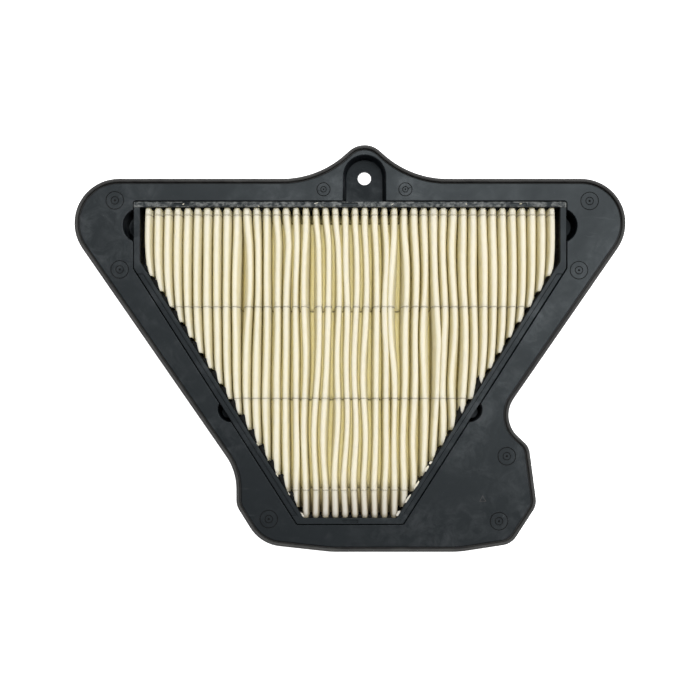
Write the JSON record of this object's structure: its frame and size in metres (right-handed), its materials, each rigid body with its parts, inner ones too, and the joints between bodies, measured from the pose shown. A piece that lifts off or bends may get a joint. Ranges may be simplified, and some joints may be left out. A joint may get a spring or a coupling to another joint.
{
  "type": "motorcycle panel air filter",
  "caption": "Flat panel air filter: pleated paper pack in a moulded frame, set in a flanged outer plate with a rubber rim seal and a screw tab.",
  "frame": {"origin": "centre of the filter's bounding box, on the plane of the element frame's back face, which it rests on", "axes": "+X along the filter's long edge, +Y towards the screw tab, +Z out of the dirty side, so the plate and the pleats' front tips face up"},
  "size_m": [0.285, 0.2104, 0.03],
  "materials": {
    "plate_plastic": "moulded black glass-filled plastic, satin, with faint cloudy patches",
    "frame_plastic": "moulded black plastic, slightly rough along the potted rail",
    "seal_rubber": "dark grey moulded rubber, matt",
    "filter_paper": "cream cellulose filter paper, matt and fibrous",
    "glue_thread": "thin hot-melt thread, dull",
    "potting": "black moulded potting compound, ragged along the paper's edge"
  },
  "bodies": {
    "root": {"outer_plate": "plate_plastic", "rim_seal": "seal_rubber", "element_frame": "frame_plastic", "pleated_paper": "filter_paper", "front_bead_1": "glue_thread", "front_bead_2": "glue_thread", "front_bead_3": "glue_thread", "front_bead_4": "glue_thread", "back_bead_1": "glue_thread", "back_bead_2": "glue_thread", "back_bead_3": "glue_thread", "back_bead_4": "glue_thread", "potting_long_edge": "potting", "potting_short_edge": "potting", "potting_left_slant": "potting", "potting_right_slant": "potting", "potting_left_side": "potting", "potting_right_side": "potting"}
  },
  "joints": []
}
